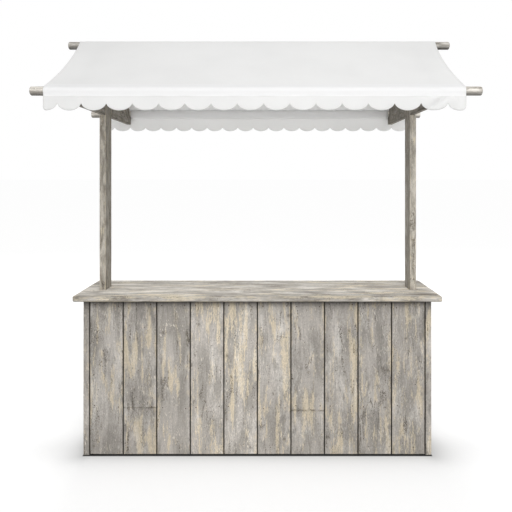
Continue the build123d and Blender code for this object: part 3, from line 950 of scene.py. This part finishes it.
def half_path():
    """Stations of one half of the cloth, from the valance's hem up to the ridge: (part, share)."""
    shares = {
        "flap": [*(i / FLAP_ROWS for i in range(FLAP_ROWS)), 0.985],
        "wrap": [i / WRAP_ROWS for i in range(WRAP_ROWS + 1)],
        "slope": [0.003, POCKET_TOP, *(i / SLOPE_ROWS for i in range(2, SLOPE_ROWS))],
        "ridge": [i / RIDGE_ROWS for i in range(RIDGE_ROWS + 1)],
    }
    return [(part, share) for part, places in shares.items() for share in places]


def beside_fold(x, height):
    """How far down the fold a place lies, as a share of it, and how far below the fold."""
    run = FOLD_FOOT - FOLD_TOP
    off = Vector((x, height)) - FOLD_TOP
    return off.dot(run) / run.length_squared, (off.y * run.x - off.x * run.y) / run.length


def hump(t, start, risen, falling, end):
    """0 up to start, 1 from risen to falling, and 0 again from end on."""
    return smooth((t - start) / (risen - start)) * (1 - smooth((t - falling) / (end - falling)))


def fold_painted_shade(x, height):
    """How much painted shade lies along the fold, most of it on its upper side."""
    along, below = beside_fold(x, height)
    return FOLD_PAINTED_SHADE * hump(below, *FOLD_SHADE_BELOW) * hump(along, *FOLD_SHADE_ALONG)


def fold_rise(x, height):
    """How far a diagonal fold lifts the cloth: a quick rise on its upper side, a slow fall below."""
    along, below = beside_fold(x, height)
    rise = hump(below, *CREST_BELOW) + FOLD_SWELL * hump(below, *SWELL_BELOW)
    return FOLD_RISE * rise * hump(along, *FOLD_ALONG)


def round_pole(pole, angle):
    return pole + LIE_RADIUS * Vector((cos(angle), sin(angle)))


def towards_sides(x, start):
    """A smooth step from 0 at a share of half the cloth's width to 1 at its side edges."""
    return smooth((2 * abs(x) / CANVAS_WIDTH - start) / (1 - start))


def ripple(end, x):
    return noise.noise(Vector((x / RIPPLE_LENGTH, CLOTH_SEEDS[end][1], 5.0)))


def on_flap(end, share, x):
    """On a valance, which waves a little, curls out at its corners and clears the timbers' feet."""
    wave = noise.noise(Vector((x / WAVE_LENGTH, CLOTH_SEEDS[end][0], 2.0)))
    cut = VALANCE_CUT[end]
    bottom = VALANCE_FOOT[end] + cut[1] - lobe_drop(cut, x)
    height = bottom + (SEAM.y - bottom) * share
    at_hem = HEM_REST + HEM_WAVE * wave + HEM_RIPPLE * ripple(end, x) + HEM_CURL * towards_sides(x, CURL_FROM)
    flare = (1 - share) ** 1.3 * at_hem
    by_foot = 1 - smooth((abs(abs(x) - FOOT_X) - FOOT_REACH) / FOOT_FADE)
    flare = max(flare, FOOT_GAP * by_foot)
    if end == "front":
        flare += fold_rise(x, height) * smooth((SEAM.y - height) / FOLD_CLEAR)
    return Vector((SEAM.x + flare, height))


def on_wrap(end, share, x):
    """Round an eave pole, from the pocket's seam to the foot of the slope."""
    if share < SEAM_SHARE:
        t = share / SEAM_SHARE
        at = SEAM.lerp(round_pole(EAVE, WRAP_START), smooth(t) * 0.5 + t * 0.5)
        return at + Vector((SEAM_RIPPLE * (1 - t) * ripple(end, x), 0.0))
    t = (share - SEAM_SHARE) / (1 - SEAM_SHARE)
    return round_pole(EAVE, WRAP_START + (pi / 2 - PITCH - WRAP_START) * t)


def belly(share):
    """A curve that is 0 at both ends of a slope and 1 half way up."""
    return 4 * share * (1 - share)


def on_slope(end, share, x):
    """Up a slope, which sags between its poles, less towards the side edges."""
    billow = noise.noise(Vector((x / BILLOW_LENGTH, share * 2.2, CLOTH_SEEDS[end][2])))
    sag = SAG + BILLOW * billow - SIDE_PULL * towards_sides(x, PULL_FROM)
    at = EAVE.lerp(RIDGE, share) + OFF_SLOPE * LIE_RADIUS
    return at - OFF_SLOPE * belly(share) * sag


def on_ridge(_end, share, _x):
    return round_pole(RIDGE, pi / 2 - PITCH + PITCH * share)


def edge_hollow(part, share, x):
    """How far a place is drawn in along X by the hollow of the cloth's side edges."""
    if part != "slope":
        return 0.0
    return SIDE_HOLLOW * belly(share) * (2 * x / CANVAS_WIDTH) ** 3


PARTS = {"flap": on_flap, "wrap": on_wrap, "slope": on_slope, "ridge": on_ridge}


def thicken(piece, thickness):
    """Gives a cloth its thickness on both sides, and returns its area."""
    solidify = piece.modifiers.new("thickness", "SOLIDIFY")
    solidify.thickness = thickness
    solidify.offset = 0
    return sum(f.area for f in piece.data.polygons)


def make_canopy():
    """One continuous cloth: front valance, front of the pocket, both slopes, and the same at the back."""
    front = half_path()
    rows = [("front", *s) for s in front] + [("back", *s) for s in reversed(front[:-1])]
    last = len(rows) - 1
    columns = {end: column_places(cut) for end, cut in VALANCE_CUT.items()}
    bm = bmesh.new()
    bmesh.ops.create_grid(bm, x_segments=CANVAS_COLUMNS, y_segments=last, size=1)
    hem_layer, doubled_layer, painted_shading_layer = number_layers(bm, "hem", "doubled", "painted_shading")
    grid = {(round((v.co.x + 1) / 2 * CANVAS_COLUMNS), round((v.co.y + 1) / 2 * last)): v for v in bm.verts}
    for (i, j), v in grid.items():
        end, part, share = rows[j]
        x = columns[end][i]
        if part in ("slope", "ridge"):
            x = columns["front"][i] * (1 - smooth(j / last)) + columns["back"][i] * smooth(j / last)
        reach, height = PARTS[part](end, share, x)
        slip = SLIP["ridge"] + (SLIP[end] - SLIP["ridge"]) * min(reach / EAVE_Y, 1.0)
        v.co = Vector((x - edge_hollow(part, share, x) + slip, -reach if end == "front" else reach, height))
        v[doubled_layer] = float(part == "wrap" or (part == "slope" and share <= POCKET_TOP))
        # painted shade on the front valance, deeper along its fold
        v[painted_shading_layer] = 1 + fold_painted_shade(x, height) if part == "flap" and end == "front" else 0.0
    run = [0.0]
    middle = CANVAS_COLUMNS // 2
    for j in range(1, len(rows)):
        run.append(run[-1] + (grid[middle, j].co - grid[middle, j - 1].co).length)
    uv = bm.loops.layers.uv.new("cut")
    for (i, j), v in grid.items():
        sides = (v.co.x - grid[0, j].co.x, grid[CANVAS_COLUMNS, j].co.x - v.co.x)
        v[hem_layer] = min(*sides, *((v.co - grid[i, k].co).length for k in (0, last)))
        for loop in v.link_loops:
            loop[uv].uv = (v.co.x, run[j])
    bmesh.ops.recalc_face_normals(bm, faces=bm.faces)
    for f in bm.faces:
        f.smooth = True
        f.material_index = int(all(v[doubled_layer] > 0.5 for v in f.verts))
    nodes = ("canopy_roof", "front_valance", "back_valance")
    piece = stored(bm, "canvas_canopy", nodes, (canvas, doubled_canvas))
    area = thicken(piece, CANVAS_THICKNESS)


make_canopy()

# ---- Pole pockets ----
POCKET_ROWS = 18
POCKET_COLUMN = 0.02  # width of a column of its mesh
POCKET_CLEARANCE = 0.008  # between a pocket and a gable
POCKET_RUN = 0.12  # of the strip, for the weave's map
POCKET_CLOTH = 0.7  # thickness of the strip, against the canvas
POCKET_HEM = 0.002  # makes the painted dark rim at the strip's ends fainter
POCKET_SEAM = SEAM + Vector((-0.0022, 0.002))
POCKET_RADIUS = LIE_RADIUS + 0.0006
# its way round the hidden side of the pole, as shares of the radius, and then as degrees on the pole
POCKET_HANG = ((0.2, -1.26), (-0.45, -1.24), (-0.85, -1.1), (-1.0, -0.8), (-1.03, -0.4), (-1.0, 0.1))
POCKET_ANGLES = (160, 145, 130, 118)
POCKET_LAP = 0.004  # how far its upper edge lies uphill of the pole's centre, under the cloth


def point_on(path, share):
    """The point at a share of a path's length."""
    lengths = [(b - a).length for a, b in zip(path, path[1:])]
    left = share * sum(lengths)
    for a, b, run in zip(path, path[1:], lengths):
        if left <= run:
            return a.lerp(b, left / run)
        left -= run
    return path[-1]


def pocket_strip():
    """The pocket's way from its seam round the pole to the underside of the cloth."""
    under_cloth = EAVE + OFF_SLOPE * (LIE_RADIUS - CANVAS_THICKNESS * 1.3)
    top = under_cloth + UPHILL * ((under_cloth.x - (EAVE_Y - POCKET_LAP)) / cos(PITCH))
    on_pole = [(cos(radians(a)), sin(radians(a))) for a in POCKET_ANGLES]
    return [POCKET_SEAM, *(EAVE + POCKET_RADIUS * Vector(p) for p in (*POCKET_HANG, *on_pole)), top]


def make_pocket(end, way):
    """The strip sewn under an eave that closes the pole's pocket, cut back round the gables."""
    strip = pocket_strip()
    low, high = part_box("post_right")
    inner, outer = low.x - POCKET_CLEARANCE, high.x + POCKET_CLEARANCE
    edge = CANVAS_WIDTH / 2
    runs = ((-edge + SLIP[end], -outer), (-inner, inner), (outer, edge + SLIP[end]))
    bm = bmesh.new()
    uv = bm.loops.layers.uv.new("cut")
    hem_layer, doubled_layer, painted_shading_layer = number_layers(bm, "hem", "doubled", "painted_shading")
    for start, finish in runs:
        columns = max(2, round((finish - start) / POCKET_COLUMN))
        for v in bmesh.ops.create_grid(bm, x_segments=columns, y_segments=POCKET_ROWS, size=1)["verts"]:
            x = start + (finish - start) * (v.co.x + 1) / 2
            t = (v.co.y + 1) / 2
            at = point_on(strip, t)
            v.co = Vector((x, way * at.x, at.y))
            v[hem_layer] = min(x - start, finish - x) + POCKET_HEM
            # doubled, for the whiter colour that is partly painted light on the strip
            v[doubled_layer] = 1.0
            # painted light along the pocket's foot, fading upwards
            v[painted_shading_layer] = -POCKET_PAINTED_LIGHT * (1 - t)
            for loop in v.link_loops:
                loop[uv].uv = (x, t * POCKET_RUN)
    bmesh.ops.recalc_face_normals(bm, faces=bm.faces)
    for f in bm.faces:
        f.smooth = True
    piece = stored(bm, f"canvas_{end}_pocket", (f"{end}_pole_pocket",), (canvas,))
    area = thicken(piece, CANVAS_THICKNESS * POCKET_CLOTH)


make_pocket("front", -1)
make_pocket("back", 1)

# ---- Floor ----
# The floor's own glow, as the camera sees it, lifts the lit floor to a studio's white.
FLOOR_SIZE = 400
FLOOR_BOUNCE = 0.82
# the colour the camera sees of the floor, and a painted dark colour beneath the counter
FLOOR_SHADOWED, FLOOR_UNDER = 0.45, 0.06
FLOOR_GLOW_NEAR, FLOOR_GLOW_FAR = 0.665, 0.76
FLOOR_GLOW_DIP, GLOW_REACH = 0.32, 0.1  # a painted shadow at the counter's foot: the dip in the glow, and how soon it fades
SIDE_SHADE, SIDE_SHADE_REACH = 0.125, 0.55  # a faint painted shadow on either side of the counter
SIDE_SHADE_LINE, SIDE_SHADE_DEPTH = -0.12, 0.28
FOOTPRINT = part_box("corner_post_back_right")[1]


def grey(level):
    return (level, level, level, 1.0)


def floor_finish():
    """White floor: a painted shadow round the counter's foot and beside it, painted dark beneath it, and
    lighter towards its open back.
    """
    material, tree = new_material("white studio floor")
    seen = Number(put(tree, "ShaderNodeLightPath").outputs["Is Camera Ray"])
    place = put(tree, "ShaderNodeTexCoord").outputs["Object"]
    past_foot = vector_math("SUBTRACT", vector_math("ABSOLUTE", place), (FOOTPRINT.x, FOOTPRINT.y, 0.0))
    away = length(vector_math("MAXIMUM", past_foot))
    depth = split(place)[1]
    aside = split(past_foot)[0]
    # painted shadow: the glow dips near the counter and on either side of it
    dip = (away / -GLOW_REACH).apply("EXPONENT") * FLOOR_GLOW_DIP
    level = 1.0 - soft_step(abs(depth - SIDE_SHADE_LINE), 0.0, SIDE_SHADE_DEPTH)
    beside = (1.0 - soft_step(aside, 0.02, SIDE_SHADE_REACH)) * soft_step(aside, -0.06, 0.0)
    far = soft_step(away, 0.3, 5.0) * (FLOOR_GLOW_FAR - FLOOR_GLOW_NEAR)
    lift = FLOOR_GLOW_NEAR - dip - level * beside * SIDE_SHADE + far
    # painted dark beneath the counter, by its front and sides, fading towards its open back
    inside = soft_step(aside * -1.0, 0.03, 0.2) * soft_step(depth, -0.18, 0.22)
    airy = soft_step(away, 0.0, 0.004).apply("MAXIMUM", inside)
    shadowed = mix_colour(airy, grey(FLOOR_UNDER), grey(FLOOR_SHADOWED))
    inputs = {
        "Base Color": mix_colour(seen, grey(FLOOR_BOUNCE), shadowed),
        "Roughness": 1.0,
        "Emission Color": grey(1.0),
        "Emission Strength": seen * (lift * airy),
        "Specular IOR Level": 0.0,
    }
    return surfaced(material, inputs)


def make_floor():
    bm = bmesh.new()
    bmesh.ops.create_grid(bm, x_segments=1, y_segments=1, size=FLOOR_SIZE)
    floor = meshed(bm, "studio_floor", (floor_finish(),))


make_floor()

# ---- Light and camera ----
AMBIENT = 0.5
CAMERA_ACROSS, CAMERA_DISTANCE, CAMERA_HEIGHT = 0.063, 3.734, 1.656
FOCAL = 41.55
CAMERA_SHIFT = (-0.0234, -0.154)


def make_world():
    """White surroundings, which the camera sees at full strength and the stall is lit by in part."""
    world = bpy.data.worlds.new("soft studio")
    bpy.context.scene.world = world
    world.use_nodes = True
    tree = world.node_tree
    tree.nodes.clear()
    rays = put(tree, "ShaderNodeLightPath").outputs
    seen = Number(rays["Is Camera Ray"]).apply("MAXIMUM", rays["Is Glossy Ray"])
    seen = seen.apply("MAXIMUM", rays["Is Transmission Ray"])
    strength = rescaled(seen, 0.0, 1.0, AMBIENT, 1.0)
    background = put(tree, "ShaderNodeBackground", {"Color": grey(1.0), "Strength": strength})
    put(tree, "ShaderNodeOutputWorld", {"Surface": background.outputs[0]})


def soft_lamp(name, place, target, width, power):
    """A round lamp that faces a target."""
    lamp = bpy.data.lights.new(name, "AREA")
    lamp.shape = "DISK"
    lamp.size = width
    lamp.energy = power
    made = new_object(name, lamp)
    made.location = place
    made.rotation_euler = (Vector(target) - Vector(place)).to_track_quat("-Z", "Y").to_euler()


def place_camera():
    """A level camera that looks straight at the front, shifted to frame the stall."""
    lens = bpy.data.cameras.new("camera")
    lens.lens = FOCAL
    lens.sensor_width = 36
    lens.shift_x, lens.shift_y = CAMERA_SHIFT
    camera = new_object("camera", lens)
    camera.location = (CAMERA_ACROSS, -CAMERA_DISTANCE, CAMERA_HEIGHT)
    camera.rotation_euler = (pi / 2, 0, 0)
    bpy.context.scene.camera = camera


make_world()
soft_lamp("high lamp", (1.4, -6.0, 6.4), (0, 0, 1.2), 4.0, 205)
soft_lamp("low lamp", (0.2, -6.8, 0.9), (0, 0, 1.6), 3.5, 125)
soft_lamp("back lamp", (-0.6, 6.4, 5.2), (0, 0, 1.2), 4.0, 265)
place_camera()
bpy.context.scene.view_settings.view_transform = "Standard"
